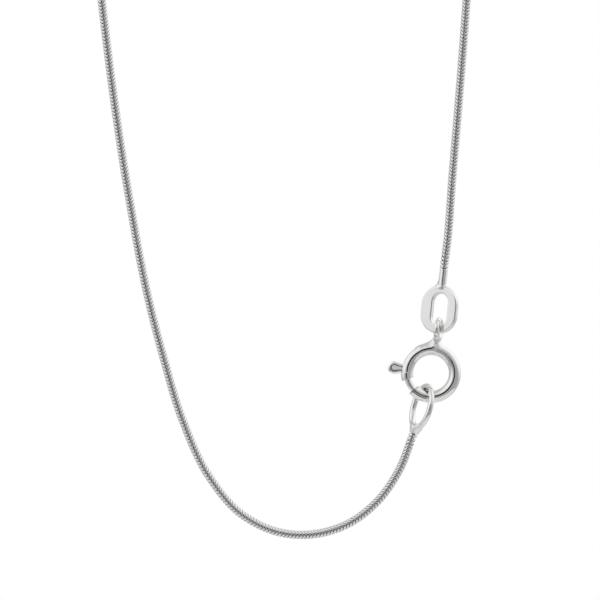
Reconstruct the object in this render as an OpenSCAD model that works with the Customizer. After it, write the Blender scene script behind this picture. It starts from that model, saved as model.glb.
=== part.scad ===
// Round snake chain necklace, closed with a spring ring, as it hangs.
// The origin is the middle of the chain at the top of its loop, where it hangs.
// X runs across the loop, Z is up, and the clasp's face looks along -Y.

/* [Chain] */
// Thickness of the round chain
chain_d = 0.9; // [0.7:0.05:1.2]
// How far the loop hangs, from the middle of the chain at its top to that at its lowest point
loop_drop = 188.2; // [170:0.2:230]
// Radius of the round top of the loop
top_r = 25.5; // [20:0.5:30]

/* [End tag] */
// Width of the oval plate
tag_w = 4; // [3.6:0.1:4.4]
// Height of the oval plate
tag_h = 5; // [4.7:0.1:6]
// Thickness of the plate
tag_t = 0.7; // [0.5:0.05:0.9]
// Width of the long slot in the plate
slot_w = 1.65; // [1.5:0.05:2]
// Height of the long slot in the plate
slot_h = 3.3; // [2.6:0.1:3.4]
// How far the slot lies to the right of the plate's middle
slot_right = 0.1; // [0:0.05:0.2]
// Thickness of the smooth neck above the plate
neck_d = 0.84; // [0.7:0.02:1]
// Length of the smooth neck, from the chain to the plate
neck_len = 1.8; // [1.2:0.1:2.6]
// Radius of the solder fillet beside the neck
neck_fillet = 0.7; // [0.4:0.05:1]
// How far the plate leans to the right at its top, in degrees
tag_lean = 6; // [0:1:10]
// How far the plate is turned about its long axis, in degrees
tag_turn = 24; // [10:1:35]

/* [Spring ring] */
// Outer diameter of the ring
ring_d = 6.2; // [5.6:0.1:7]
// Thickness of the hollow tube that the ring is bent from
tube_d = 1.25; // [1.15:0.05:1.4]
// Wall of that tube
tube_wall = 0.2; // [0.12:0.01:0.22]
// Middle of the gap's upper end, as an angle round the ring, from the right by way of the top
gap_from = 202.5; // [197:0.5:207]
// Middle of the gap's lower end, as an angle round the ring
gap_to = 232.5; // [227:0.5:239]
// How far the tube's mouth stands out round the knob's slot
lip_out = 0.07; // [0.05:0.01:0.1]
// Wire of the eyelet soldered on top
eye_wire = 0.6; // [0.5:0.02:0.7]
// Height of the solder between ring and eyelet
eye_stand = 0.2; // [0.1:0.01:0.4]
// How far the eyelet is turned about the way it stands, in degrees
eye_turn = 13; // [5:1:25]
// How far the eyelet leans to the right at its top, in degrees
eye_lean = 4; // [2:1:6]
// How far the ring leans to the right at its eyelet, in degrees
ring_lean = 8.5; // [6:0.5:10]
// Width of the open seam at the tube's lower end
seam_w = 0.16; // [0.1:0.01:0.2]
// Length of that seam, in degrees round the ring
seam_run = 38; // [20:1:50]

/* [Spring bolt] */
// How far the bolt slides back, in degrees round the ring
bolt_travel = 36; // [32:1:38]
// How far the closed bolt's tip reaches into the ring's lower end, in degrees round the ring
bolt_reach = 5; // [3:1:8]
// How far the bolt reaches back past its knob, in degrees round the ring
bolt_tail = 12; // [8:1:20]
// Outer diameter of the round knob
knob_d = 1.36; // [1.2:0.02:1.5]
// Wire that the knob is looped from
knob_wire = 0.3; // [0.24:0.01:0.34]
// Space between the ring and the knob
knob_stand = 0.04; // [0.03:0.01:0.3]

/* [End loop] */
// Outer height of the oval wire loop
loop_h = 5.05; // [4.6:0.05:6]
// Outer width of the oval wire loop, which is made wider where the ring's tube needs it
loop_w = 4.12; // [3.9:0.02:4.5]
// Wire of the loop
loop_wire = 0.62; // [0.5:0.02:0.66]
// Length of the soldered neck below the loop
drop_len = 0.7; // [0.5:0.02:1]
// How far that neck leans to the right at its top, in degrees
drop_lean = 22; // [16:1:26]
// How far the loop leans to the right at its top, in degrees
loop_lean = 16; // [8:0.5:22]
// How far the loop is turned about the way it hangs, in degrees
loop_turn = 62; // [58:1:70]
// Where the loop hangs in the ring, as an angle round the ring
loop_at = 264.5; // [256:0.5:270]

/* [Fits] */
// Space between the end loop and the spring ring that it hangs in
hang_gap = 0.1; // [0.05:0.01:0.15]
// Space between the eyelet and the plate's rim that it hangs from
eye_gap = 0.12; // [0.05:0.01:0.15]
// Space round the sliding bolt and its stem
run_gap = 0.08; // [0.05:0.01:0.1]
// Space between the chain's ends and their necks
join_gap = 0.05; // [0.03:0.01:0.1]

/* [Hidden] */
$fn = 64;

// The chain's way in the lower part, from the end loop round the bottom and up the left.
// Each row is across, height over the lowest point, and the rings of the tube in the stretch that follows.
lower_left = [
    [13.4, 6.8, 3], [11.2, 3.6, 3], [8.1, 1.2, 3], [4.4, 0.1, 3], [1, 0.3, 3], [-3.1, 2.3, 3],
    [-6.2, 5.9, 3], [-9.1, 12, 2], [-11, 18.2, 2], [-12.6, 24.4, 2], [-14.6, 34.8, 1],
    [-16.2, 45.2, 1], [-17.5, 55.6, 2]
];
// The same down the right, to the tag
lower_right = [[20.4, 55.6, 1], [19.6, 45.2, 1], [18.9, 36.9, 1], [18.42, 30.7, 1], [18.04, 27.7, 0]];
// Between them both strands spread a little, up to a half circle.
function strand(low, side, steps) = [
    for (t = steps) [
        low[0] + (side * top_r - low[0]) * (t + 0.4 * t * (1 - t)),
        low[1] + (loop_drop - top_r - low[1]) * t,
        2
    ]
];
round_top = [for (a = [180 : -30 : 0]) [top_r * cos(a), loop_drop - top_r + top_r * sin(a), a > 0 ? 4 : 3]];
chain_sides = 8;

// A direction in the XZ plane that leans to the right by an angle
function leaning(angle) = [sin(angle), 0, cos(angle)];
// A point of the ring's own plane, by radius and angle
function polar(radius, angle) = [radius * cos(angle), radius * sin(angle)];

// The tag hangs from the chain's last point, the ring from the tag, and the loop from the ring.
lowest_row = lower_right[len(lower_right) - 1];
tag_top = [lowest_row[0], 0, lowest_row[1] - loop_drop];
tag_at = tag_top - (neck_len + tag_h / 2) * leaning(tag_lean);
rim_h = (tag_h - slot_h) / 2;
rim_at = tag_at - (slot_h + rim_h) / 2 * leaning(tag_lean);
eye_in_r = norm([rim_h, tag_t]) / 2 + eye_gap;
eye_r = eye_in_r + eye_wire / 2;
eye_bend = ring_lean - eye_lean;
eye_side = (eye_in_r + eye_wire) * sin(eye_bend);
eye_up = ring_d / 2 + eye_stand + eye_in_r + eye_wire;
ring_at = rim_at - eye_up * leaning(ring_lean);

tube_r = tube_d / 2;
ring_r = ring_d / 2 - tube_r;
bore_r = tube_r - tube_wall;
// The bolt runs in the middle of the bore.
bolt_r = bore_r - run_gap;
knob_r = ring_d / 2 + knob_stand + knob_d / 2;
// The knob stands a quarter turn from the eyelet, and its two legs lie side by side.
knob_angle = 180;
leg_d = knob_wire - 0.02;
leg_side = leg_d / 2 + 0.01;
leg_half_angle = asin((leg_side + leg_d / 2) / (ring_d / 2));
slot_half = leg_d / 2 + run_gap;
gap_mid = (gap_from + gap_to) / 2;

loop_top_r = ring_d / 2 - tube_d - hang_gap - loop_wire / 2;
loop_up = (loop_h - loop_wire) / 2;
loop_half = max((loop_w - loop_wire) / 2, 1.4 * tube_d);
loop_down = polar(loop_top_r, loop_at - ring_lean);
loop_mid = ring_at + [loop_down[0], 0, loop_down[1]] - loop_up * leaning(loop_lean);
drop_at = loop_mid - loop_up * leaning(loop_lean);
chain_start = drop_at - drop_len * leaning(drop_lean);

// Chain: the whole way, with its first point set by the end loop
route = concat(
    [[chain_start[0], chain_start[2] + loop_drop, 3]],
    lower_left,
    strand(lower_left[len(lower_left) - 1], -1, [0.2, 0.46, 0.72]),
    round_top,
    strand(lower_right[0], 1, [0.72, 0.46, 0.2]),
    lower_right
);
last = len(route) - 1;
function spot(i) = [route[i][0], route[i][1] - loop_drop];
function span(i) = norm(spot(i + 1) - spot(i));
function heading(i) = (spot(i + 1) - spot(i)) / span(i);
// The way the chain runs at a point. At both ends it runs straight out of its neck.
function way(i) =
    i == 0 ? [-sin(drop_lean), -cos(drop_lean)] :
    i == last ? [-sin(tag_lean), -cos(tag_lean)] :
    (heading(i - 1) * span(i) + heading(i) * span(i - 1)) / (span(i - 1) + span(i));
// A smooth curve from point i to the next, for t from 0 to 1, and its direction
function on_curve(i, t) =
    (2 * t ^ 3 - 3 * t ^ 2 + 1) * spot(i) + (t ^ 3 - 2 * t ^ 2 + t) * span(i) * way(i)
    + (3 * t ^ 2 - 2 * t ^ 3) * spot(i + 1) + (t ^ 3 - t ^ 2) * span(i) * way(i + 1);
function along_curve(i, t) =
    (6 * t ^ 2 - 6 * t) * (spot(i) - spot(i + 1)) + (3 * t ^ 2 - 4 * t + 1) * span(i) * way(i)
    + (3 * t ^ 2 - 2 * t) * span(i) * way(i + 1);
// Each stop of the tube, as its place and its direction
stops = concat(
    [for (i = [0 : last - 1]) for (k = [0 : route[i][2] - 1])
        let (t = k / route[i][2]) [on_curve(i, t), along_curve(i, t)]],
    [[spot(last), way(last)]]
);
function ring_points(stop) =
    let (d = stop[1] / norm(stop[1]))
    [for (k = [0 : chain_sides - 1])
        let (a = 360 * (k + 0.5) / chain_sides, out = chain_d / 2 * cos(a))
        [stop[0][0] - d[1] * out, chain_d / 2 * sin(a), stop[0][1] + d[0] * out]];

module chain() {
    sides = chain_sides;
    count = len(stops);
    points = [for (s = stops) each ring_points(s)];
    walls = [for (j = [0 : count - 2]) for (k = [0 : sides - 1])
        let (a = j * sides + k, b = j * sides + (k + 1) % sides)
        [a, b, b + sides, a + sides]];
    first_end = [for (k = [sides - 1 : -1 : 0]) k];
    last_end = [for (k = [0 : sides - 1]) (count - 1) * sides + k];
    color("silver") polyhedron(points, concat([first_end], walls, [last_end]));
}

// A flat oval with round ends, standing upright
module oval(width, height) {
    reach = (height - width) / 2;
    translate([0, reach]) circle(d = width);
    translate([0, -reach]) circle(d = width);
    square([width, 2 * reach], center = true);
}

// Turns a shape drawn flat to face the front, with its own Y upright
module facing() {
    rotate([90, 0, 0]) children();
}

module end_tag() {
    sunk = tag_t / 2;
    shoulder_up = sqrt((tag_w / 2) ^ 2 - (neck_d / 2 + neck_fillet) ^ 2) + (tag_h - tag_w) / 2;
    color("gainsboro") translate(tag_at) rotate([0, tag_lean, 0]) rotate([0, 0, -tag_turn]) {
        facing() linear_extrude(tag_t, center = true) difference() {
            oval(tag_w, tag_h);
            translate([slot_right, 0]) oval(slot_w, slot_h);
        }
        // The neck stands on the plate's top edge.
        translate([0, 0, tag_h / 2 - sunk]) cylinder(h = neck_len + sunk - join_gap, d = neck_d);
        // The solder has run into the corner at the left.
        facing() linear_extrude(tag_t / 2, center = true) difference() {
            translate([-neck_d / 2 - neck_fillet, shoulder_up - sunk])
                square([neck_d / 2 + neck_fillet, sunk + neck_fillet]);
            translate([-neck_d / 2 - neck_fillet, shoulder_up + neck_fillet]) circle(neck_fillet);
        }
    }
}

// A round section, swept round a bend between two angles
module bent_tube(radius, bend, from, to) {
    rotate([0, 0, from]) rotate_extrude(angle = to - from) translate([bend, 0]) circle(radius);
}

// The space between the tube's two ends, whose cuts aren't quite square to it
module gap_block() {
    low = ring_r - 1.6 * tube_r;
    high = ring_r + 1.8 * tube_r;
    upper_slant = 3;
    lower_slant = 1.5;
    corners = [
        polar(low, gap_from - upper_slant), polar(high, gap_from + upper_slant),
        polar(high, gap_to - lower_slant), polar(low, gap_to + lower_slant)
    ];
    linear_extrude(2 * tube_d, center = true) polygon(corners);
}

// The solder that has run from the eyelet down on the ring, seen from the front
module solder_outline() {
    top_half = eye_wire * 0.7;
    run = 0.3 * ring_r;
    foot_half = top_half + run;
    foot_up = sqrt((ring_d / 2) ^ 2 - foot_half ^ 2);
    difference() {
        translate([-foot_half, foot_up - tube_r / 2]) square([2 * foot_half, run + tube_r / 2]);
        translate([-foot_half, foot_up + run]) circle(run);
        translate([foot_half, foot_up + run]) circle(run);
    }
}

module spring_ring() {
    lip_r = tube_r + lip_out / 2 - 0.02;
    lip_bend_r = ring_r + lip_out / 2 + 0.02;
    lip_from = knob_angle + leg_half_angle + 1;
    slot_from = knob_angle - bolt_travel - leg_half_angle - 2;
    color("lightgray") translate(ring_at) rotate([0, ring_lean, 0]) {
        difference() {
            union() {
                facing() rotate_extrude() translate([ring_r, 0]) circle(tube_r);
                facing() bent_tube(lip_r, lip_bend_r, lip_from, gap_mid);
                facing() linear_extrude(tube_r, center = true) solder_outline();
            }
            facing() rotate_extrude() translate([ring_r, 0]) circle(bore_r);
            facing() gap_block();
            // The slot that the knob's stem runs in, open towards the gap
            facing() rotate([0, 0, slot_from]) rotate_extrude(angle = gap_mid - slot_from)
                translate([ring_r, -slot_half]) square([tube_d, 2 * slot_half]);
            // The open seam on the front of the lower end
            facing() rotate([0, 0, gap_to - bolt_reach]) rotate_extrude(angle = bolt_reach + seam_run)
                translate([ring_r + bore_r / 4 - seam_w / 2, 0]) square([seam_w, tube_d]);
        }
        translate([eye_side, 0, eye_up]) rotate([0, -eye_bend, 0]) rotate([0, 0, -eye_turn])
            rotate([0, 90, 0]) rotate_extrude() translate([eye_r, 0]) circle(eye_wire / 2);
    }
}

module spring_bolt() {
    tail = knob_angle - bolt_tail;
    tip = gap_to + bolt_reach;
    eye_fill_r = knob_d / 2 - knob_wire * 0.9;
    leg_len = knob_r - knob_d / 2 + knob_wire - ring_r;
    color("darkgray") translate(ring_at) rotate([0, ring_lean, 0]) facing() {
        bent_tube(bolt_r, ring_r, tail, tip);
        rotate([0, 0, knob_angle]) {
            for (side = [-1, 1])
                translate([ring_r, side * leg_side, 0]) rotate([0, 90, 0]) cylinder(h = leg_len, d = leg_d);
            translate([knob_r, 0, 0]) {
                rotate_extrude() translate([(knob_d - knob_wire) / 2, 0]) circle(knob_wire / 2);
                cylinder(h = knob_wire / 2, r = eye_fill_r, center = true);
            }
        }
    }
}

// A round wire bent to a closed oval
module wire_oval() {
    sides = 12;
    step = 7.5;
    count = 360 / step;
    points = [for (j = [0 : count - 1])
        let (
            t = j * step,
            heading = [-loop_half * sin(t), loop_up * cos(t)],
            aside = [heading[1], -heading[0]] / norm(heading)
        )
        for (k = [0 : sides - 1])
            let (a = 360 * (k + 0.5) / sides, out = loop_wire / 2 * cos(a))
            [loop_half * cos(t) + aside[0] * out, loop_up * sin(t) + aside[1] * out, loop_wire / 2 * sin(a)]];
    walls = [for (j = [0 : count - 1]) for (k = [0 : sides - 1])
        let (a = j * sides, b = (j + 1) % count * sides, next = (k + 1) % sides)
        [a + k, a + next, b + next, b + k]];
    polyhedron(points, walls);
}

module end_loop() {
    color("silver") {
        translate(loop_mid) rotate([0, loop_lean, 0]) rotate([0, 0, -loop_turn]) facing()
            wire_oval();
        // The drop-shaped neck narrows from the loop to the chain.
        translate(chain_start) rotate([0, drop_lean, 0]) translate([0, 0, join_gap])
            cylinder(h = drop_len + loop_wire * 0.4 - join_gap, d1 = chain_d * 0.95, d2 = chain_d * 1.35);
    }
}

chain();
end_tag();
spring_ring();
spring_bolt();
end_loop();
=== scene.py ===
import bpy
import numpy as np
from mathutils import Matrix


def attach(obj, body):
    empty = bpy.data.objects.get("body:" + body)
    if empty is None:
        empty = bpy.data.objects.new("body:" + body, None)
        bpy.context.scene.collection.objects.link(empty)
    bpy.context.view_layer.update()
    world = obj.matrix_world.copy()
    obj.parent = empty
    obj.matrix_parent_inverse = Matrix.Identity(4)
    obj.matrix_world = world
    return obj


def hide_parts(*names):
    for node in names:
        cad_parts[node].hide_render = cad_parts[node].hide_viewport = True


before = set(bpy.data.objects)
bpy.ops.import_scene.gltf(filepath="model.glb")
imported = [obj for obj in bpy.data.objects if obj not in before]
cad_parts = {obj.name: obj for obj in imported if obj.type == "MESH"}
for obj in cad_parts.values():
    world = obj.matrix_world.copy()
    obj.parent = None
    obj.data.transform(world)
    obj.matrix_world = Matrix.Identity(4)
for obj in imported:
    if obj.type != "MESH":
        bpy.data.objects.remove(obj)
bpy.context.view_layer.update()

MM = 0.001


# Sizes in mm and angles in degrees, as in the part's source.
CHAIN_D = 0.9
LOOP_DROP = 188.2
TOP_R = 25.5
TAG_W, TAG_H, TAG_T = 4.0, 5.0, 0.7
SLOT_W, SLOT_H, SLOT_RIGHT = 1.65, 3.3, 0.1
NECK_D, NECK_LEN = 0.84, 1.8
TAG_LEAN, TAG_TURN = 6.0, 24.0
RING_D, TUBE_D, TUBE_WALL = 6.2, 1.25, 0.2
GAP_FROM, GAP_TO = 202.5, 232.5
LIP_OUT = 0.07
EYE_WIRE, EYE_STAND, EYE_TURN, EYE_LEAN, EYE_GAP = 0.6, 0.2, 13.0, 4.0, 0.12
RING_LEAN = 8.5
SEAM_W, SEAM_RUN = 0.16, 38.0
BOLT_TRAVEL, BOLT_REACH, BOLT_TAIL = 36.0, 5.0, 12.0
KNOB_D, KNOB_WIRE, KNOB_STAND, KNOB_ANGLE = 1.36, 0.3, 0.04, 180.0
LOOP_H, LOOP_W, LOOP_WIRE = 5.05, 4.12, 0.62
DROP_LEN, DROP_LEAN = 0.7, 22.0
LOOP_LEAN, LOOP_TURN, LOOP_AT = 16.0, 62.0, 264.5
HANG_GAP, RUN_GAP, JOIN_GAP = 0.1, 0.08, 0.05

# The chain's route low down, as x and the height over the lowest place.
LOWER_LEFT = [
    (13.4, 6.8), (11.2, 3.6), (8.1, 1.2), (4.4, 0.1), (1.0, 0.3), (-3.1, 2.3), (-6.2, 5.9), (-9.1, 12.0),
    (-11.0, 18.2), (-12.6, 24.4), (-14.6, 34.8), (-16.2, 45.2), (-17.5, 55.6),
]
LOWER_RIGHT = [(20.4, 55.6), (19.6, 45.2), (18.9, 36.9), (18.42, 30.7), (18.04, 27.7)]

# Sizes that only the drawn model has.
LINK_PITCH, LINK_W, LINK_THICK = 0.356, 0.328, 0.17
LINK_WAVE = 0.155
LINK_CORNERS = 28
# How far the links' waves are turned about the chain, in the left strand and in the right one.
TURN_LEFT, TURN_RIGHT = -80.0, 10.0
# The core that the first links are soldered on to, at both ends of the chain.
CORE_R, CORE_LEN = 0.2, 0.9


def rad(a):
    return np.radians(a)


def leaning(a):
    """The direction in the frame's XZ plane that leans from straight up to the right."""
    return np.array([np.sin(rad(a)), 0.0, np.cos(rad(a))])


# Places in mm.
tag_top = np.array([LOWER_RIGHT[-1][0], 0.0, LOWER_RIGHT[-1][1] - LOOP_DROP])
tag_at = tag_top - (NECK_LEN + TAG_H / 2) * leaning(TAG_LEAN)
rim_h = (TAG_H - SLOT_H) / 2
rim_at = tag_at - (SLOT_H + rim_h) / 2 * leaning(TAG_LEAN)
eye_in_r = np.hypot(rim_h, TAG_T) / 2 + EYE_GAP
eye_r = eye_in_r + EYE_WIRE / 2
eye_bend = RING_LEAN - EYE_LEAN
eye_side = (eye_in_r + EYE_WIRE) * np.sin(rad(eye_bend))
eye_up = RING_D / 2 + EYE_STAND + eye_in_r + EYE_WIRE
ring_at = rim_at - eye_up * leaning(RING_LEAN)
tube_r = TUBE_D / 2
ring_r = RING_D / 2 - tube_r
bore_r = tube_r - TUBE_WALL
bolt_r = bore_r - RUN_GAP
knob_r = RING_D / 2 + KNOB_STAND + KNOB_D / 2
slot_half = (KNOB_WIRE - 0.02) / 2 + RUN_GAP
loop_top_r = RING_D / 2 - TUBE_D - HANG_GAP - LOOP_WIRE / 2
loop_up = (LOOP_H - LOOP_WIRE) / 2
loop_half = (LOOP_W - LOOP_WIRE) / 2
loop_dir = rad(LOOP_AT - RING_LEAN)
loop_way = np.array([np.cos(loop_dir), 0, np.sin(loop_dir)])
loop_mid = ring_at + loop_top_r * loop_way - loop_up * leaning(LOOP_LEAN)
drop_at = loop_mid - loop_up * leaning(LOOP_LEAN)
chain_start = drop_at - DROP_LEN * leaning(DROP_LEAN)


# The camera looks straight on to the clasp's face.
PHOTO_PX = 600
PX = 6.0 / 57.8  # mm in a pixel of the photo, from the size of the ring
MIDDLE_COLUMN, LOWEST_ROW = 270.18, 535.3  # where x is 0, and where the chain is lowest
VIEW_FAR = 1200.0
SENSOR = 36.0


def from_photo(column, row):
    """The x and the z, in mm, of a pixel of the photo."""
    return (column - MIDDLE_COLUMN) * PX, (LOWEST_ROW - row) * PX - LOOP_DROP


view_x, view_z = from_photo(PHOTO_PX / 2, PHOTO_PX / 2)
cam_data = bpy.data.cameras.new("camera")
cam_data.sensor_width = SENSOR
cam_data.lens = SENSOR * VIEW_FAR / (PHOTO_PX * PX)
cam_data.clip_start = 0.05
cam_data.clip_end = 20.0
camera = bpy.data.objects.new("camera", cam_data)
camera.location = (view_x * MM, -VIEW_FAR * MM, view_z * MM)
camera.rotation_euler = (np.pi / 2, 0, 0)
bpy.context.collection.objects.link(camera)
bpy.context.scene.camera = camera


# Helpers for fields. A field gives each point's distance from a surface in mm, negative inside.
def smin(a, b, blend):
    """The union of two fields, blended where they are nearer than blend to each other."""
    h = np.clip(0.5 + 0.5 * (b - a) / blend, 0, 1)
    return b * (1 - h) + a * h - blend * h * (1 - h)


def smax(a, b, blend):
    """The same for what two fields have in common."""
    return -smin(-a, -b, blend)


def ease(t):
    """From 0 to 1 as t does, with a soft start and end."""
    t = np.clip(t, 0, 1)
    return t * t * (3 - 2 * t)


def bell(off, wide):
    return np.exp(-((off / wide) ** 2))


def stroke(off, reach, full=1.5):
    """1 on a line, fading to 0 at full times reach from it."""
    return np.clip(full - np.abs(off) / reach, 0, 1)


def near(p, spot, reach):
    """1 at a spot, falling to 0 at that reach."""
    return stroke(np.linalg.norm(p - np.asarray(spot, float), axis=1), reach / 1.5)


def capsule(p, a, b, ra, rb=None):
    """A rod with round ends, whose radius goes from ra to rb."""
    a, b = np.asarray(a, float), np.asarray(b, float)
    rb = ra if rb is None else rb
    ab = b - a
    t = np.clip(((p - a) @ ab) / (ab @ ab), 0, 1)
    return np.linalg.norm(p - a - t[:, None] * ab, axis=1) - (ra + (rb - ra) * t)


def oval(x, z, width, height):
    """An upright outline with straight sides and round ends."""
    reach = (height - width) / 2
    return np.hypot(x, z - np.clip(z, -reach, reach)) - width / 2


def slab(flat, y, half, round_r):
    """A flat outline given thickness, with its edges rounded."""
    a = flat + round_r
    b = np.abs(y) - half + round_r
    return np.minimum(np.maximum(a, b), 0) + np.hypot(np.maximum(a, 0), np.maximum(b, 0)) - round_r


def turned(p, axis, angle):
    """Points turned about an axis through the origin, in degrees, by the right-hand rule."""
    c, s = np.cos(rad(angle)), np.sin(rad(angle))
    x, y, z = p[..., 0], p[..., 1], p[..., 2]
    if axis == "Y":
        return np.stack([c * x + s * z, y, -s * x + c * z], axis=-1)
    return np.stack([c * x - s * y, s * x + c * y, z], axis=-1)


# Helpers for meshes.
def mesh_object(name, verts, faces, normals, shade_and_dirt, satin):
    """A mesh of quads. Each corner has a normal, a darkness (1 where painted darkest, for painted shade in
    gaps and recesses and for dirt in joints) and a satin (1 on rough solder).
    """
    mesh = bpy.data.meshes.new(name)
    faces = np.asarray(faces, dtype=np.int32)
    verts = np.asarray(verts, dtype=np.float64) * MM
    mesh.vertices.add(len(verts))
    mesh.vertices.foreach_set("co", verts.ravel())
    count = faces.shape[1]
    mesh.loops.add(faces.size)
    mesh.loops.foreach_set("vertex_index", faces.ravel())
    mesh.polygons.add(len(faces))
    mesh.polygons.foreach_set("loop_start", np.arange(0, faces.size, count, dtype=np.int32))
    mesh.polygons.foreach_set("loop_total", np.full(len(faces), count, dtype=np.int32))
    mesh.polygons.foreach_set("use_smooth", np.ones(len(faces), dtype=bool))
    mesh.update(calc_edges=True)
    mesh.normals_split_custom_set_from_vertices(normals.tolist())
    for kind, values in (("shade_and_dirt", shade_and_dirt), ("satin", satin)):
        mesh.attributes.new(kind, "FLOAT", "POINT").data.foreach_set("value", values.astype(np.float32))
    obj = bpy.data.objects.new(name, mesh)
    bpy.context.collection.objects.link(obj)
    return obj


def gradient(field, p, eps):
    out = np.empty_like(p)
    for axis in range(3):
        step = np.zeros(3)
        step[axis] = eps
        out[:, axis] = (field(p + step) - field(p - step)) / (2 * eps)
    return out


def cell_corners(values):
    """Which cells of a grid the surface passes, and the middle of its crossings in each, in cells."""
    cells = tuple(n - 1 for n in values.shape)
    total = np.zeros(cells + (3,))
    hits = np.zeros(cells)
    for axis in range(3):
        others = [i for i in range(3) if i != axis]
        for da in (0, 1):
            for db in (0, 1):
                at = [slice(0, -1)] * 3
                at[others[0]] = slice(da, da + cells[others[0]])
                at[others[1]] = slice(db, db + cells[others[1]])
                nxt = list(at)
                at[axis] = slice(0, cells[axis])
                nxt[axis] = slice(1, cells[axis] + 1)
                a, b = values[tuple(at)], values[tuple(nxt)]
                cross = (a < 0) != (b < 0)
                t = np.where(cross, a / np.where(cross, a - b, 1), 0)
                spot = np.zeros(cells + (3,))
                spot[..., axis] = t
                spot[..., others[0]] = da
                spot[..., others[1]] = db
                total += np.where(cross[..., None], spot, 0)
                hits += cross
    used = hits > 0
    return used, total[used] / hits[used][:, None]


def cell_quads(inside, index):
    """A quad round each grid edge that the surface crosses, with a corner in each of the four cells there."""
    quads = []
    for axis in range(3):
        o1, o2 = (axis + 1) % 3, (axis + 2) % 3
        core = [slice(1, -1)] * 3
        core[axis] = slice(0, -1)
        ahead = list(core)
        ahead[axis] = slice(1, None)
        a, b = inside[tuple(core)], inside[tuple(ahead)]
        places = np.argwhere(a != b)
        flip = a[tuple(places.T)]
        places[:, o1] += 1
        places[:, o2] += 1
        ring = []
        for d1, d2 in ((-1, -1), (0, -1), (0, 0), (-1, 0)):
            q = places.copy()
            q[:, o1] += d1
            q[:, o2] += d2
            ring.append(index[tuple(q.T)])
        ring = np.stack(ring, axis=1)
        ring[~flip] = ring[~flip][:, ::-1]
        quads.append(ring)
    return np.concatenate(quads)


def net_of(field, low, high, step):
    """A closed quad mesh of field = 0, with its corners moved on to the surface, and its normals."""
    axes = [np.arange(low[i] - 2 * step, high[i] + 2.5 * step, step) for i in range(3)]
    shape = tuple(len(a) for a in axes)
    grid = np.stack(np.meshgrid(*axes, indexing="ij"), axis=-1).reshape(-1, 3)
    batches = np.array_split(grid, max(1, len(grid) // 400000))
    values = np.concatenate([field(batch) for batch in batches]).reshape(shape)
    used, inner = cell_corners(values)
    index = np.full(used.shape, -1, dtype=np.int64)
    index[used] = np.arange(used.sum())
    corner = np.stack(np.meshgrid(*[a[:-1] for a in axes], indexing="ij"), axis=-1)
    verts = corner[used] + inner * step
    quads = cell_quads(values < 0, index)
    for _ in range(4):
        g = gradient(field, verts, step * 0.05)
        size = np.maximum((g * g).sum(axis=1), 1e-6)
        move = -(field(verts) / size)[:, None] * g
        far = np.linalg.norm(move, axis=1)
        verts = verts + move * np.minimum(1, 0.6 * step / np.maximum(far, 1e-9))[:, None]
    n = gradient(field, verts, step * 0.35)
    n /= np.maximum(np.linalg.norm(n, axis=1), 1e-9)[:, None]
    return verts, quads, n


def placed(name, field, shade_dirt_and_satin, low, high, step, origin, turns):
    """Builds a piece in its own frame, between low and high, turns it and moves it to its origin."""
    verts, quads, normals = net_of(field, low, high, step)
    shade_and_dirt, satin = shade_dirt_and_satin(verts)
    for axis, angle in turns:
        verts = turned(verts, axis, angle)
        normals = turned(normals, axis, angle)
    return mesh_object(name, verts + origin, quads, normals, shade_and_dirt, satin)


# Materials.
# The colour and roughness of painted shade in gaps and recesses, and of dirt in joints.
SHADE_DIRT_COLOUR = (0.06, 0.058, 0.055, 1)
SHADE_DIRT_ROUGH, SATIN_ROUGH = 0.6, 0.34
BUMP_HEIGHT = 0.00001


def value_range(nodes, links, source, low, high, to_low, to_high):
    n = nodes.new("ShaderNodeMapRange")
    n.inputs["From Min"].default_value = low
    n.inputs["From Max"].default_value = high
    n.inputs["To Min"].default_value = to_low
    n.inputs["To Max"].default_value = to_high
    links.new(source, n.inputs["Value"])
    return n.outputs["Result"]


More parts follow.
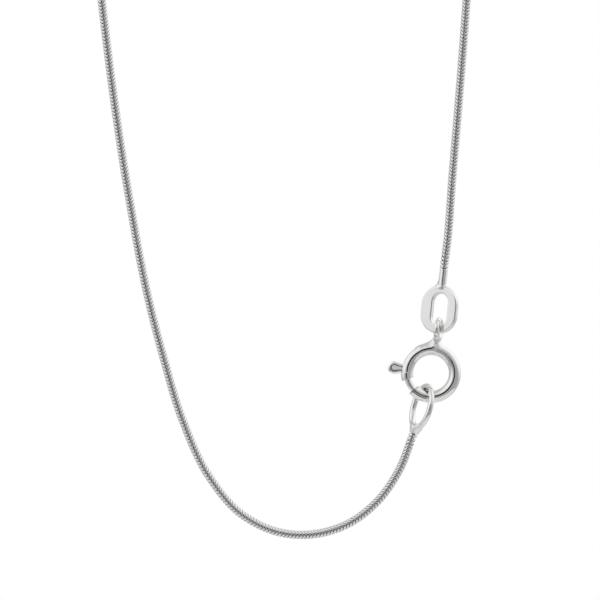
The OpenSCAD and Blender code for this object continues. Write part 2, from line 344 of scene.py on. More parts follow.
def metal(name, light, dark, rough, grain, scratch, bump):
    """Polished white metal. rough is a range, and grain and scratch are pattern scales per metre."""
    mat = bpy.data.materials.new(name)
    mat.use_nodes = True
    nodes, links = mat.node_tree.nodes, mat.node_tree.links
    nodes.clear()
    out = nodes.new("ShaderNodeOutputMaterial")
    shader = nodes.new("ShaderNodeBsdfPrincipled")
    links.new(shader.outputs["BSDF"], out.inputs["Surface"])
    coords = nodes.new("ShaderNodeTexCoord")
    # Colour: a faint cloud, and the dark colour where it is painted: painted shade in gaps and recesses, and
    # dirt in joints.
    cloud = nodes.new("ShaderNodeTexNoise")
    cloud.inputs["Scale"].default_value = grain
    cloud.inputs["Detail"].default_value = 4.0
    links.new(coords.outputs["Object"], cloud.inputs["Vector"])
    ramp = nodes.new("ShaderNodeValToRGB")
    ramp.color_ramp.elements[0].position = 0.35
    ramp.color_ramp.elements[0].color = (*dark, 1)
    ramp.color_ramp.elements[1].position = 0.65
    ramp.color_ramp.elements[1].color = (*light, 1)
    links.new(cloud.outputs["Fac"], ramp.inputs["Fac"])
    # This reads where shade is painted in gaps and recesses, and where joints are dirty.
    worn = nodes.new("ShaderNodeAttribute")
    worn.attribute_name = "shade_and_dirt"
    shade_dirt_mix = nodes.new("ShaderNodeMix")
    shade_dirt_mix.data_type = "RGBA"
    shade_dirt_mix.inputs["B"].default_value = SHADE_DIRT_COLOUR
    links.new(worn.outputs["Fac"], shade_dirt_mix.inputs["Factor"])
    links.new(ramp.outputs["Color"], shade_dirt_mix.inputs["A"])
    links.new(shade_dirt_mix.outputs["Result"], shader.inputs["Base Color"])
    bright = value_range(nodes, links, worn.outputs["Fac"], 0, 1, 1, 0.1)
    links.new(bright, shader.inputs["Metallic"])
    gloss = value_range(nodes, links, worn.outputs["Fac"], 0, 1, 0.5, 0.05)
    links.new(gloss, shader.inputs["Specular IOR Level"])
    # Roughness: fine scratches that run one way, the satin of solder, and where shade and dirt are painted.
    stretch = nodes.new("ShaderNodeMapping")
    stretch.inputs["Rotation"].default_value = (0.3, 0.5, 0.2)
    stretch.inputs["Scale"].default_value = (1.0, 0.35, 0.12)
    links.new(coords.outputs["Object"], stretch.inputs["Vector"])
    lines = nodes.new("ShaderNodeTexNoise")
    lines.inputs["Scale"].default_value = scratch
    lines.inputs["Detail"].default_value = 6.0
    links.new(stretch.outputs["Vector"], lines.inputs["Vector"])
    polish = value_range(nodes, links, lines.outputs["Fac"], 0.3, 0.7, *rough)
    solder = nodes.new("ShaderNodeAttribute")
    solder.attribute_name = "satin"
    matt = nodes.new("ShaderNodeMix")
    matt.inputs["B"].default_value = SATIN_ROUGH
    links.new(solder.outputs["Fac"], matt.inputs["Factor"])
    links.new(polish, matt.inputs["A"])
    duller = nodes.new("ShaderNodeMix")
    duller.inputs["B"].default_value = SHADE_DIRT_ROUGH
    links.new(worn.outputs["Fac"], duller.inputs["Factor"])
    links.new(matt.outputs["Result"], duller.inputs["A"])
    links.new(duller.outputs["Result"], shader.inputs["Roughness"])
    relief = nodes.new("ShaderNodeBump")
    relief.inputs["Strength"].default_value = bump
    relief.inputs["Distance"].default_value = BUMP_HEIGHT
    links.new(lines.outputs["Fac"], relief.inputs["Height"])
    links.new(relief.outputs["Normal"], shader.inputs["Normal"])
    return mat


link_metal = metal(
    "link_metal", light=(0.9, 0.897, 0.892), dark=(0.85, 0.847, 0.842),
    rough=(0.06, 0.14), grain=2500, scratch=5000, bump=0.06,
)
tag_metal = metal(
    "tag_metal", light=(0.93, 0.928, 0.924), dark=(0.9, 0.898, 0.894),
    rough=(0.1, 0.15), grain=700, scratch=3000, bump=0.03,
)
ring_metal = metal(
    "ring_metal", light=(0.9, 0.897, 0.892), dark=(0.87, 0.867, 0.862),
    rough=(0.03, 0.08), grain=900, scratch=2500, bump=0.03,
)
bolt_metal = metal(
    "bolt_metal", light=(0.96, 0.957, 0.952), dark=(0.92, 0.917, 0.912),
    rough=(0.06, 0.14), grain=1500, scratch=4000, bump=0.05,
)
loop_metal = metal(
    "loop_metal", light=(0.9, 0.897, 0.892), dark=(0.86, 0.857, 0.852),
    rough=(0.05, 0.11), grain=1200, scratch=3500, bump=0.04,
)


# The chain's route, in the XZ plane, the same as in the part's source.
HIDDEN_STEPS, HIDDEN_BOW = (0.2, 0.46, 0.72), 0.4
ROUTE_STEPS = 200


def strand(low, side):
    """Points of the hidden stretch from a lower strand's end up to the round top, bowing out a little."""
    return [
        (
            low[0] + (side * TOP_R - low[0]) * (t + HIDDEN_BOW * t * (1 - t)),
            low[1] + (LOOP_DROP - TOP_R - low[1]) * t,
        )
        for t in HIDDEN_STEPS
    ]


round_top = [
    (TOP_R * np.cos(rad(a)), LOOP_DROP - TOP_R + TOP_R * np.sin(rad(a)))
    for a in range(180, -1, -30)
]
route = (
    [(chain_start[0], chain_start[2] + LOOP_DROP)]
    + LOWER_LEFT
    + strand(LOWER_LEFT[-1], -1)
    + round_top
    + strand(LOWER_RIGHT[0], 1)[::-1]
    + LOWER_RIGHT
)
route = np.array(route) - np.array([0, LOOP_DROP])
gaps = np.linalg.norm(np.diff(route, axis=0), axis=1)
headings = np.diff(route, axis=0) / gaps[:, None]
ways = np.zeros_like(route)
ways[0] = [-np.sin(rad(DROP_LEAN)), -np.cos(rad(DROP_LEAN))]
ways[-1] = [-np.sin(rad(TAG_LEAN)), -np.cos(rad(TAG_LEAN))]
for i in range(1, len(route) - 1):
    ways[i] = (headings[i - 1] * gaps[i] + headings[i] * gaps[i - 1]) / (gaps[i - 1] + gaps[i])

# A smooth curve through the route's points, in small steps.
fine = []
for i in range(len(route) - 1):
    t = np.linspace(0, 1, ROUTE_STEPS, endpoint=i == len(route) - 2)[:, None]
    fine.append(
        (2 * t**3 - 3 * t**2 + 1) * route[i]
        + (t**3 - 2 * t**2 + t) * gaps[i] * ways[i]
        + (3 * t**2 - 2 * t**3) * route[i + 1]
        + (t**3 - t**2) * gaps[i] * ways[i + 1]
    )
fine = np.concatenate(fine)
along = np.concatenate([[0], np.cumsum(np.linalg.norm(np.diff(fine, axis=0), axis=1))])
fine_way = np.gradient(fine, along, axis=0)


def on_route(s):
    """The places, and the unit ways forward, at lengths s along the route."""
    s = np.clip(s, 0, along[-1])
    spot = np.stack([np.interp(s, along, fine[:, k]) for k in (0, 1)], axis=-1)
    way = np.stack([np.interp(s, along, fine_way[:, k]) for k in (0, 1)], axis=-1)
    return spot, way / np.linalg.norm(way, axis=-1)[..., None]


# The chain's links: wavy bands, whose angle phi goes round the chain from the front.
OUTER_ROWS = np.array([-1.0, -0.92, -0.74, -0.45, 0.45, 0.74, 0.92, 1.0])
INNER_ROWS = np.array([0.9, -0.9])
# How far the band's edge lies under its crown and by what power it falls, at the front and at the sides.
FRONT_FALL, FRONT_POWER = 0.034, 12
SIDE_FALL, SIDE_POWER = 0.066, 3
# Wear has flattened the front and the back, there, by so much and so widely.
WORN_AT, WORN_DEPTH, WORN_WIDE = 0.06, 0.015, 0.23
# Beside the front the gap between two links is open, and the painted shade at a band's lower edge reaches
# further in, at this angle and so widely.
OPEN_AT, OPEN_WIDE = 0.3, 0.27


def link_profile(phi):
    """How deep the band's outer rows lie under its crown, and their slope, at each angle phi."""
    side = np.clip((np.abs(np.sin(phi)) - 0.1) / 0.3, 0, 1)[:, None]
    size = np.abs(OUTER_ROWS)[None, :]
    under = (1 - side) * FRONT_FALL * size**FRONT_POWER + side * SIDE_FALL * size**SIDE_POWER
    steep = (
        (1 - side) * FRONT_FALL * FRONT_POWER * size ** (FRONT_POWER - 1)
        + side * SIDE_FALL * SIDE_POWER * size ** (SIDE_POWER - 1)
    )
    return under, -np.sign(OUTER_ROWS)[None, :] * steep / (LINK_W / 2)


def link_gap_shade(phi, rows, inner, shares):
    """Painted shade at a band's edges, most at the lower one by the open gap, and on its inner side."""
    from_front = (phi + np.pi) % (2 * np.pi) - np.pi
    open_gap = bell(from_front - OPEN_AT, OPEN_WIDE)[None, :, None]
    lower = rows[None, None, :] * (2 * shares[:, None, None] - 1)
    start, over = 0.86 - 0.36 * open_gap, 0.14 + 0.1 * open_gap
    at_lower = np.clip((lower - start) / over, 0, 1)
    at_both = np.clip((np.abs(rows) - 0.87) * 8, 0, 1)[None, None, :]
    return np.where(inner[None, None, :], 1.0, np.maximum(at_lower, at_both))


def links(name, places, waves, shares):
    """A row of links as one mesh, with each one's place along the route, wave and share of the twist."""
    phi = 2 * np.pi * np.arange(LINK_CORNERS) / LINK_CORNERS
    rows = np.concatenate([OUTER_ROWS, INNER_ROWS])
    inner = np.arange(len(rows)) >= len(OUTER_ROWS)
    n, m = len(places), len(rows)
    under, slope = link_profile(phi)
    under = np.concatenate([under, np.full((LINK_CORNERS, 2), LINK_THICK)], axis=1)
    slope = np.concatenate([slope, np.zeros((LINK_CORNERS, 2))], axis=1)

    around = np.minimum(np.abs(phi - WORN_AT), 2 * np.pi - np.abs(phi - WORN_AT))
    flat = sum(WORN_DEPTH * np.exp(-(((around - at) / WORN_WIDE) ** 2) / 2) for at in (0, np.pi))
    crown = CHAIN_D / 2 - flat
    lean = np.gradient(np.concatenate([crown[-2:], crown, crown[:2]]), phi[1])[2:-2] / crown
    r = (crown[:, None] - under)[None]

    twists = rad(TURN_LEFT + (TURN_RIGHT - TURN_LEFT) * shares)
    turned_phi = 2 * (phi[None] - twists[:, None])
    s = (waves[:, None] * np.cos(turned_phi))[:, :, None] + rows[None, None, :] * LINK_W / 2
    spot, way = on_route(places)
    side = np.stack([-way[:, 1], way[:, 0]], axis=1)

    def in_place(across, front, forward):
        """From the chain's directions, to the left of its way, to the front and along, to the frame's."""
        x = side[:, None, None, 0] * across + way[:, None, None, 0] * forward
        z = side[:, None, None, 1] * across + way[:, None, None, 1] * forward
        return np.stack([x, -front + 0 * x, z], axis=-1)

    sin, cos = np.sin(phi)[None, :, None], np.cos(phi)[None, :, None]
    verts = in_place(sin * r, cos * r, s)
    verts[..., 0] += spot[:, None, None, 0]
    verts[..., 2] += spot[:, None, None, 1]

    tilt = lean[None, :, None]
    swing = (-2 * waves[:, None] * np.sin(turned_phi) / (CHAIN_D / 2))[:, :, None]
    radial = np.where(inner, -1.0, 1.0)[None, None, :]
    steep = -slope[None]
    normal_a = radial * (sin - tilt * cos) - steep * swing * cos
    normal_f = radial * (cos + tilt * sin) + steep * swing * sin
    normals = in_place(normal_a, normal_f, steep + 0 * normal_a)
    normals /= np.linalg.norm(normals, axis=-1)[..., None]

    k, j = np.meshgrid(np.arange(LINK_CORNERS), np.arange(m), indexing="ij")
    a = k * m + j
    b = k * m + (j + 1) % m
    c = ((k + 1) % LINK_CORNERS) * m + (j + 1) % m
    d = ((k + 1) % LINK_CORNERS) * m + j
    one = np.stack([a, b, c, d], axis=-1).reshape(-1, 4)
    faces = (one[None] + (np.arange(n) * LINK_CORNERS * m)[:, None, None]).reshape(-1, 4)
    # painted shade in the gaps between links and on their inner side
    shade_and_dirt = np.broadcast_to(link_gap_shade(phi, rows, inner, shares), (n, LINK_CORNERS, m)).ravel()
    obj = mesh_object(name, verts.reshape(-1, 3), faces, normals.reshape(-1, 3), shade_and_dirt, 0 * shade_and_dirt)
    obj.data.materials.append(link_metal)
    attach(obj, "necklace")
    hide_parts("chain")


# The last links at both ends lie flat against the solder, and grow wavy over a few links, which stand a
# little further apart. From each end the links go as far as the middle of the chain.
WAVY_OVER, WAVY_APART = 3, 0.8
waves, places = [0.0], [JOIN_GAP * 0.4 + LINK_W / 2]
while places[-1] < along[-1] / 2:
    waves.append(min(LINK_WAVE, waves[-1] + LINK_WAVE / WAVY_OVER))
    places.append(places[-1] + LINK_PITCH + (waves[-1] - waves[-2]) * WAVY_APART)
places, waves = np.array(places[:-1]), np.array(waves[:-1])
middle = along[-1] / 2 - places[-1]
spread = 1 + np.linspace(0, 1, len(places)) * (middle - LINK_PITCH / 2) / places[-1]
places = places * spread
all_places = np.concatenate([places, along[-1] - places[::-1]])
all_waves = np.concatenate([waves, waves[::-1]])
# The twist that joins the two strands lies in the round top.
twist_half = TOP_R * 1.5
twist_from, twist_to = along[-1] / 2 - twist_half, along[-1] / 2 + twist_half
all_shares = ease((all_places - twist_from) / (twist_to - twist_from))
STRETCHES = 4
for number, part in enumerate(np.array_split(np.arange(len(all_places)), STRETCHES)):
    links("chain_links_%d" % (number + 1), all_places[part], all_waves[part], all_shares[part])


# The end tag, seen from the plate's middle.
NECK_END = TAG_H / 2 + NECK_LEN - JOIN_GAP
PLATE_ROUND = 0.17


def tag_field(p):
    x, y, z = p[:, 0], p[:, 1], p[:, 2]
    plate = slab(oval(x, z, TAG_W, TAG_H), y, TAG_T / 2, PLATE_ROUND)
    slot = oval(x - SLOT_RIGHT, z, SLOT_W, SLOT_H)
    plate = smax(plate, -slot, blend=0.2)
    neck = np.hypot(x, y) - NECK_D / 2
    neck = smax(neck, z - NECK_END, blend=0.05)
    neck = smax(neck, TAG_H / 2 - 0.3 - z, blend=0.25)
    core = np.hypot(x, y) - CORE_R
    core = np.maximum(core, np.maximum(z - NECK_END - CORE_LEN, NECK_END - 0.2 - z))
    body = smin(plate, np.minimum(neck, core), blend=0.16)
    run_in = capsule(p, (-0.62, 0, TAG_H / 2 - 0.16), (-0.3, 0, TAG_H / 2 + 0.45), 0.16, 0.1)
    body = smin(body, run_in, blend=0.3)
    return smax(body, -slot, blend=0.1)


def tag_shade_and_satin(p):
    """Painted shade on the core inside the first links, a painted shadow in a corner beside the neck, and
    satin solder at the neck's foot.
    """
    core = (p[:, 2] > NECK_END + 0.01) * 0.8
    corner = near(p, (0.46, -0.28, TAG_H / 2 - 0.02), 0.14)
    return np.maximum(core, 0.75 * corner), 0.25 * near(p, (-0.3, 0, TAG_H / 2), 1.0)


tag = placed(
    "end_tag_plate", tag_field, tag_shade_and_satin,
    low=(-TAG_W / 2 - 0.1, -0.6, -TAG_H / 2 - 0.1), high=(TAG_W / 2 + 0.1, 0.6, NECK_END + CORE_LEN),
    step=0.05, origin=tag_at, turns=[("Z", -TAG_TURN), ("Y", TAG_LEAN)],
)
tag.data.materials.append(tag_metal)
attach(tag, "necklace")
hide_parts("end_tag")


# The spring ring, seen from its middle, with its post straight up. Its front is at negative y.
UPPER_SLANT, LOWER_SLANT = 1.6, -1.2  # of the gap's two ends, in degrees for each radius of the tube
LIP_FROM, LIP_SLANT = 186, 3
# Where the solder has swollen the tube: the angle, how widely and by how much.
SWELLS = [(103, 13, 0.035), (122, 6, 0.02)]
# Small pits on the front of the post: x, z, half width, half height and how dark.
PITS = [
    (-0.1, 3.88, 0.17, 0.05, 1.0),
    (-0.15, 3.4, 0.07, 0.06, 1.0),
    (0.16, 3.4, 0.12, 0.04, 0.4),
    (0.05, 3.1, 0.1, 0.07, 0.5),
]
PIT_DEPTH, SEAM_DEPTH = 0.035, 0.03
# How far the knob's slot goes on past the knob's middle at the end of its travel, and past the gap's start.
SLOT_BEYOND, SLOT_PAST_GAP = 11.5, 8
# How far the bore goes on past the bolt's two ends.
BORE_BEYOND_TAIL, BORE_BEYOND_REACH = 6, 3
# The flatter face where the solder's run was polished: its radius, and how far it cuts in.
FLAT_R, FLAT_CUT = 1.15, 0.035


def arc_of(p):
    return np.degrees(np.arctan2(p[:, 2], p[:, 0])) % 360


def past_cut(p, angle, slant=0):
    """Signed length along the ring past a slanted cut, positive on the side of larger angles."""
    r = np.hypot(p[:, 0], p[:, 2])
    at = angle + slant * (r - ring_r) / tube_r
    diff = (arc_of(p) - at + 180) % 360 - 180
    return rad(diff) * np.clip(r, 0.5, None)


def between(p, start, end):
    """A field that is negative between two angles of the ring."""
    return np.maximum(-past_cut(p, start), past_cut(p, end))


def pit(p, x, z, wide, high):
    """1 at a pit, fading round it, on the front only."""
    return np.exp(-(((p[:, 0] - x) / wide) ** 2) - ((p[:, 2] - z) / high) ** 2) * (p[:, 1] < -0.2)


def seam_lines(p):
    """The two fine lines at the sides of the lower end's seam: the inner and the outer one."""
    r = np.hypot(p[:, 0], p[:, 2])
    off = r - ring_r - bore_r / 4
    angle = arc_of(p)
    starts = np.clip((angle - GAP_TO + 2) / 3, 0, 1)
    ends = np.clip((GAP_TO + SEAM_RUN - angle) / 3, 0, 1)
    run = (p[:, 1] < -0.25) * starts * ends
    return [run * bell(off - side * SEAM_W / 2, 0.045) for side in (-1, 1)]


def contact_shadow(p, middle):
    """Painted contact shadow where the end loop hangs in the ring, as a slanting oval. p is seen from middle.
    """
    spot = ring_at + (loop_top_r + LOOP_WIRE / 2) * loop_way - middle
    dx, dz = p[:, 0] - spot[0] + 0.1, p[:, 2] - spot[2] + 0.02
    far = np.hypot((0.82 * dx - 0.57 * dz) / 0.19, (0.57 * dx + 0.82 * dz) / 0.1)
    return np.clip(1.9 - far, 0, 1)


def solder_run(angle):
    """1 along the stretch that solder ran over, to the right of the post, fading at both ends."""
    return ease((angle - 22) / 34) * ease((97 - angle) / 14)


def ring_shade_dirt_and_satin(p):
    x, y, z = p[:, 0], p[:, 1], p[:, 2]
    r = np.hypot(x, z)
    angle = arc_of(p)
    inner_line, outer_line = seam_lines(p)
    shade_and_dirt = sum(dark * pit(p, *spot) for *spot, dark in PITS)
    # painted shade inside the bore
    shade_and_dirt += 0.8 * (np.hypot(r - ring_r, y) < bore_r + 0.03)
    shade_and_dirt += 1.5 * inner_line + 1.2 * outer_line
    # painted shade along the edges of the gap's two ends, and a dark spot beside the lower one
    shade_and_dirt += 0.5 * stroke(past_cut(p, GAP_FROM, UPPER_SLANT), 0.04, full=1.4)
    shade_and_dirt += (y < 0.1) * stroke(past_cut(p, GAP_TO, LOWER_SLANT), 0.05)
    shade_and_dirt += near(p, (-1.66, -0.45, -2.2), 0.16)
    # painted contact shadow where the end loop hangs
    shade_and_dirt += contact_shadow(turned(p, "Y", RING_LEAN), ring_at)
    # Satin: the outer side at the left of the post, the post's front, and the solder's run, which is less
    # polished than the ring and has a sharp left edge.
    right_of_edge = np.clip((x + 0.1) / 0.1, 0, 1)
    satin = 0.5 * bell(angle - 112, 14) * (r > ring_r + 0.3)
    satin += 1.2 * near(p, (0, -0.75, 3.5), 0.62)
    satin += solder_run(angle) * right_of_edge * stroke(r - 2.5, 0.22, full=2.0) * (y < 0)
    satin += 0.9 * near(p, (0.12, -0.62, 2.95), 0.5) * right_of_edge
    return np.clip(shade_and_dirt, 0, 1), np.clip(satin, 0, 1)


def ring_field(p):
    y, z = p[:, 1], p[:, 2]
    r = np.hypot(p[:, 0], z)
    angle = arc_of(p)
    grow = sum(high * bell(angle - at, wide) for at, wide, high in SWELLS)
    tube = np.hypot(r - ring_r - grow, y) - tube_r - grow
    lip = np.hypot(r - ring_r - LIP_OUT, y) - tube_r - 0.02
    lip = smax(lip, -past_cut(p, LIP_FROM, LIP_SLANT), blend=0.05)
    tube = np.minimum(tube, np.where((angle > 180) & (angle < 217), lip, 9.0))
    flatter = np.hypot(r - ring_r + 0.05, y + tube_r - FLAT_R - FLAT_CUT) - FLAT_R
    wide = solder_run(angle)
    tube = np.where(wide > 0, smax(tube, flatter - (1 - wide) * 0.1, blend=0.06), tube)

    # The post and the eyelet are soldered on. The solder fills the corners at both sides of the post, and
    # less at its front and inside the ring.
    post_foot = (-0.12, -0.23, RING_D / 2 - 0.35)
    post_head = (eye_side * 0.5, -0.12, RING_D / 2 + EYE_STAND + 0.25)
    post = capsule(p, post_foot, post_head, 0.42, 0.37)
    fill = 0.18 + 0.64 * np.clip(1 - (y / 0.6) ** 2, 0, 1) * np.clip((z - 2.2) / 0.6, 0, 1)
    q = p - np.array([eye_side, 0, eye_up])
    q = turned(turned(q, "Y", eye_bend), "Z", EYE_TURN)
    eye = np.hypot(np.hypot(q[:, 1], q[:, 2]) - eye_r, q[:, 0]) - EYE_WIRE / 2
    body = smin(smin(tube, post, fill), eye, blend=0.14)
    for spot in PITS:
        body = body + PIT_DEPTH * pit(p, *spot[:4])

    gap = np.maximum(-past_cut(p, GAP_FROM, UPPER_SLANT), past_cut(p, GAP_TO, LOWER_SLANT))
    gap = np.where(np.abs(r - ring_r) < 1.2, gap, 9.0)
    body = smax(body, -gap, blend=0.07)
    gap_middle = (GAP_FROM + GAP_TO) / 2
    in_upper = between(p, KNOB_ANGLE - BOLT_TRAVEL - BOLT_TAIL - BORE_BEYOND_TAIL, gap_middle)
    in_lower = between(p, gap_middle, GAP_TO + BOLT_REACH + BORE_BEYOND_REACH)
    bore = np.maximum(np.hypot(r - ring_r, y) - bore_r, np.minimum(in_upper, in_lower))
    body = smax(body, -bore, blend=0.05)
    slot_from = KNOB_ANGLE - BOLT_TRAVEL - SLOT_BEYOND
    slot = np.maximum(np.abs(y) - slot_half, ring_r - r)
    slot = np.maximum(slot, between(p, slot_from, GAP_FROM + SLOT_PAST_GAP))
    body = smax(body, -slot, blend=0.06)
    return body + SEAM_DEPTH * sum(seam_lines(p))


ring = placed(
    "spring_ring_tube", ring_field, ring_shade_dirt_and_satin,
    low=(-RING_D / 2 - 0.3, -1.35, -RING_D / 2 - 0.2),
    high=(RING_D / 2 + 0.2, 1.35, eye_up + eye_r + EYE_WIRE),
    step=0.039, origin=ring_at, turns=[("Y", RING_LEAN)],
)
ring.data.materials.append(ring_metal)
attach(ring, "necklace")
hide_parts("spring_ring")


# The bolt and its knob, seen from the ring's middle. The knob is a loop of wire that is bevelled outside and
# narrows to its neck, and its eye is filled.
KNOB_HALF = KNOB_WIRE / 2 - 0.005
# The middles and the radii of the knob's round end and of its neck, seen from the knob's middle.
KNOB_END, KNOB_END_R = (-0.04, 0, -0.005), KNOB_D / 2 - 0.015 - KNOB_HALF
KNOB_NECK, KNOB_NECK_R = (0.85, 0, 0.035), 0.32
# How far the filling's edge and the dark groove lie inside the wire's middle line.
FILLING_IN, GROOVE_IN = 0.25, 0.215


def knob_part(p):
    """Points seen from the knob's middle."""
    return p - knob_r * np.array([np.cos(rad(KNOB_ANGLE)), 0, np.sin(rad(KNOB_ANGLE))])


def knob_line(q):
    """Signed distance, in the ring's plane, from the middle line of the knob's wire, negative in its eye."""
    return capsule(q * np.array([1, 0, 1]), KNOB_END, KNOB_NECK, KNOB_END_R, KNOB_NECK_R)


def bolt_field(p):
    y = p[:, 1]
    wire = np.hypot(np.hypot(p[:, 0], p[:, 2]) - ring_r, y) - bolt_r
    wire = smax(wire, -past_cut(p, KNOB_ANGLE - BOLT_TAIL), blend=0.08)
    wire = smax(wire, past_cut(p, GAP_TO + BOLT_REACH), blend=0.08)
    q = knob_part(p)
    out = knob_line(q)
    bevel = np.abs(y) - 0.16 + 0.45 * (out + KNOB_HALF)
    loop = smax(np.hypot(out, y) - KNOB_HALF, bevel, blend=0.04)
    web = np.maximum(out + KNOB_HALF - 0.03, np.abs(y) - 0.03)
    slanted = np.abs(y) - 0.13 + 0.2 * (0.25 * q[:, 0] + 0.95 * q[:, 2])
    filling = smax(out + FILLING_IN, slanted, blend=0.03)
    knob = np.minimum(loop, smin(web, filling, blend=0.03))
    return np.minimum(knob, wire)


def bolt_shade_and_satin(p):
    """Painted shade in the groove round the knob's filling, and less so in its neck."""
    q = knob_part(p)
    out = knob_line(q)
    in_neck = np.clip((q[:, 0] - 0.3) / 0.2, 0, 1)
    groove = stroke(out + GROOVE_IN, 0.034, full=1.6) * (1 - 0.45 * in_neck)
    return groove * (q[:, 0] < 0.85), np.where(out < -0.24, 0.4, 0.15 * (q[:, 0] < 0.8))


bolt = placed(
    "spring_bolt_wire", bolt_field, bolt_shade_and_satin,
    low=(-knob_r - KNOB_D / 2 - 0.1, -0.5, -RING_D / 2), high=(-0.9, 0.5, KNOB_D / 2 + 0.6),
    step=0.028, origin=ring_at, turns=[("Y", RING_LEAN)],
)
bolt.data.materials.append(bolt_metal)
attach(bolt, "bolt")
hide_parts("spring_bolt")


# The end loop, seen from its middle.
# The notch where the loop's end is lapped on to the neck: a pixel of the photo, and x and z from there.
LAP_PIXEL = (414.5, 408.5)
LAP = [(-0.13, -1.0), (-0.33, -1.26), (-0.18, -1.62), (0.12, -1.75)]
LAP_DEPTH = 0.03
lap_at = np.array(from_photo(*LAP_PIXEL)) - loop_mid[[0, 2]]


def drop_part(p):
    """Height along the drop from the chain's end, and distance from its middle line."""
    rel = p - (chain_start - loop_mid)
    up = rel @ leaning(DROP_LEAN)
    return up, np.linalg.norm(rel - up[:, None] * leaning(DROP_LEAN), axis=1)


def far_from_oval(p, half, tall):
    """Distance from an oval line that lies in the XZ plane, by a few steps towards the nearest point."""
    x, z = p[:, 0], p[:, 2]
    t = np.arctan2(z / tall, x / half)
    for _ in range(5):
        c, s = np.cos(t), np.sin(t)
        dx, dz = half * c - x, tall * s - z
        lead = tall * c * dz - half * s * dx
        bend = half**2 * s**2 + tall**2 * c**2 - half * c * dx - tall * s * dz
        t = t - np.clip(lead / np.maximum(bend, 0.3), -0.4, 0.4)
    return np.sqrt((half * np.cos(t) - x) ** 2 + (tall * np.sin(t) - z) ** 2 + p[:, 1] ** 2)


def lap_line(p):
    """1 along the lap's notch, on the front."""
    far = np.full(len(p), 9.0)
    flat = p[:, [0, 2]] - lap_at
    for a, b in zip(LAP[:-1], LAP[1:]):
        a, b = np.array(a), np.array(b)
        t = np.clip(((flat - a) @ (b - a)) / ((b - a) @ (b - a)), 0, 1)
        far = np.minimum(far, np.linalg.norm(flat - a - t[:, None] * (b - a), axis=1))
    return bell(far, 0.05) * (p[:, 1] < 0.3)


def loop_field(p):
    q = turned(turned(p, "Y", -LOOP_LEAN), "Z", LOOP_TURN)
    wire = far_from_oval(q, loop_half, loop_up) - LOOP_WIRE / 2
    # Worn on to the ring, the loop nearly touches it.
    worn = capsule(q, (-0.15, 0, loop_up - 0.15), (0.15, 0, loop_up - 0.15), 0.22)
    up, out = drop_part(p)
    neck = out - (0.45 + 0.23 * np.clip(up / (DROP_LEN + 0.25), 0, 1))
    neck = smax(neck, JOIN_GAP - up, blend=0.05)
    neck = smax(neck, up - DROP_LEN - 0.22, blend=0.12)
    core = np.maximum(out - CORE_R, np.maximum(up - 0.3, -CORE_LEN - up))
    body = smin(smin(wire, worn, blend=0.05), np.minimum(neck, core), blend=0.5)
    return body + LAP_DEPTH * lap_line(p)


def loop_shade_dirt_and_satin(p):
    """Painted shade on the core inside the first links, a painted contact shadow where the loop hangs, dirt
    in the lap's notch, and satin solder at the neck.
    """
    up, _ = drop_part(p)
    shade_and_dirt = 0.8 * (up < JOIN_GAP - 0.01) + contact_shadow(p, loop_mid) + 0.45 * lap_line(p)
    return np.clip(shade_and_dirt, 0, 1), 0.9 * stroke(up - 0.4, 0.8, full=1.3)


loop = placed(
    "end_loop_wire", loop_field, loop_shade_dirt_and_satin,
    low=(-1.9, -LOOP_H / 2 - 0.1, -LOOP_H / 2 - 1.9), high=(1.7, LOOP_H / 2 + 0.1, LOOP_H / 2 + 0.1),
    step=0.045, origin=loop_mid, turns=[],
)
loop.data.materials.append(loop_metal)
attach(loop, "necklace")
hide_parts("end_loop")


# The floor, a round pale sheet well below the necklace.
FLOOR_R, FLOOR_Z, FLOOR_CORNERS = 0.45, -0.45, 96
floor_mesh = bpy.data.meshes.new("floor")
floor_angles = np.linspace(0, 2 * np.pi, FLOOR_CORNERS + 1)[:-1]
floor_rim = [(FLOOR_R * np.cos(a), FLOOR_R * np.sin(a), FLOOR_Z) for a in floor_angles]
floor_mesh.from_pydata(floor_rim, [], [list(range(FLOOR_CORNERS))])
floor = bpy.data.objects.new("floor", floor_mesh)
bpy.context.collection.objects.link(floor)
pale = bpy.data.materials.new("pale_floor")
pale.use_nodes = True
pale.node_tree.nodes["Principled BSDF"].inputs["Base Color"].default_value = (0.92, 0.92, 0.915, 1)
pale.node_tree.nodes["Principled BSDF"].inputs["Roughness"].default_value = 0.9
floor_mesh.materials.append(pale)


# The light: an even tent round the object, with brighter and darker patches. The camera sees plain white.
TENT_LIGHT, DARKEST = 0.47, 0.006
# Each patch: its direction as clock and off, the angles where it is still full and where it is gone, and
# what it adds.
PATCHES = [
    # the two large soft boxes, high at both sides
    (146, 70, 12, 58, 0.50),
    (44, 104, 20, 66, 0.55),
    # the white sheet over the front, the darker strip above it, and the white wall behind
    (75, 45, 8, 42, 0.14),
    (106, 76, 4, 32, -0.16),
    (0, 180, 30, 110, 0.08),
    # the room in front, below the table's edge
    (215, 30, 4, 40, -0.16),
    (325, 42, 6, 48, -0.10),
    # the camera
    (117, 8.5, 10.5, 14, -1.0),
]

world = bpy.data.worlds.new("tent")
bpy.context.scene.world = world
world.use_nodes = True
world_nodes, world_links = world.node_tree.nodes, world.node_tree.links
world_nodes.clear()
world_out = world_nodes.new("ShaderNodeOutputWorld")
world_coords = world_nodes.new("ShaderNodeTexCoord")


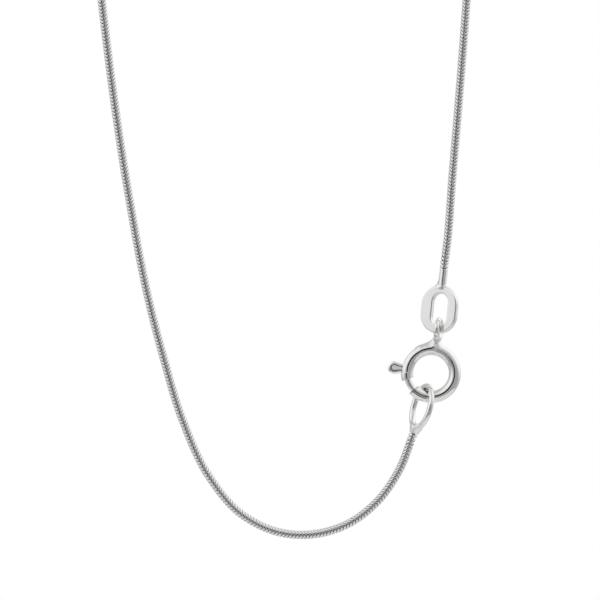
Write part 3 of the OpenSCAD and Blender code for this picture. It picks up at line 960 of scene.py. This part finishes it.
def toward(clock, off):
    """A direction that is off degrees away from straight towards the camera, on the side that clock says.

    clock is in degrees, 0 at the picture's right and 90 at its top.
    """
    return np.sin(rad(off)) * np.cos(rad(clock)), -np.cos(rad(off)), np.sin(rad(off)) * np.sin(rad(clock))


def patch(total, direction, inner, outer, amount):
    """Adds amount to the light within inner degrees of a direction, fading out at outer degrees."""
    dot = world_nodes.new("ShaderNodeVectorMath")
    dot.operation = "DOT_PRODUCT"
    dot.inputs[1].default_value = direction
    world_links.new(world_coords.outputs["Generated"], dot.inputs[0])
    fade = world_nodes.new("ShaderNodeMapRange")
    fade.interpolation_type = "SMOOTHSTEP"
    fade.inputs["From Min"].default_value = np.cos(rad(outer))
    fade.inputs["From Max"].default_value = np.cos(rad(inner))
    fade.inputs["To Min"].default_value = 0.0
    fade.inputs["To Max"].default_value = amount
    world_links.new(dot.outputs["Value"], fade.inputs["Value"])
    add = world_nodes.new("ShaderNodeMath")
    add.operation = "ADD"
    world_links.new(total, add.inputs[0])
    world_links.new(fade.outputs["Result"], add.inputs[1])
    return add.outputs["Value"]


def background(strength):
    shade = world_nodes.new("ShaderNodeBackground")
    shade.inputs["Color"].default_value = (1, 1, 1, 1)
    shade.inputs["Strength"].default_value = strength
    return shade


even = world_nodes.new("ShaderNodeValue")
even.outputs["Value"].default_value = TENT_LIGHT
light = even.outputs["Value"]
for clock, off, inner, outer, amount in PATCHES:
    light = patch(light, toward(clock, off), inner, outer, amount)
clamp = world_nodes.new("ShaderNodeMath")
clamp.operation = "MAXIMUM"
clamp.inputs[1].default_value = DARKEST
world_links.new(light, clamp.inputs[0])
tent = background(1.0)
world_links.new(clamp.outputs["Value"], tent.inputs["Strength"])
white = background(1.0)
path = world_nodes.new("ShaderNodeLightPath")
pick = world_nodes.new("ShaderNodeMixShader")
world_links.new(path.outputs["Is Camera Ray"], pick.inputs["Fac"])
world_links.new(tent.outputs["Background"], pick.inputs[1])
world_links.new(white.outputs["Background"], pick.inputs[2])
world_links.new(pick.outputs["Shader"], world_out.inputs["Surface"])

bpy.context.scene.view_settings.view_transform = "Standard"
bpy.context.scene.view_settings.look = "None"
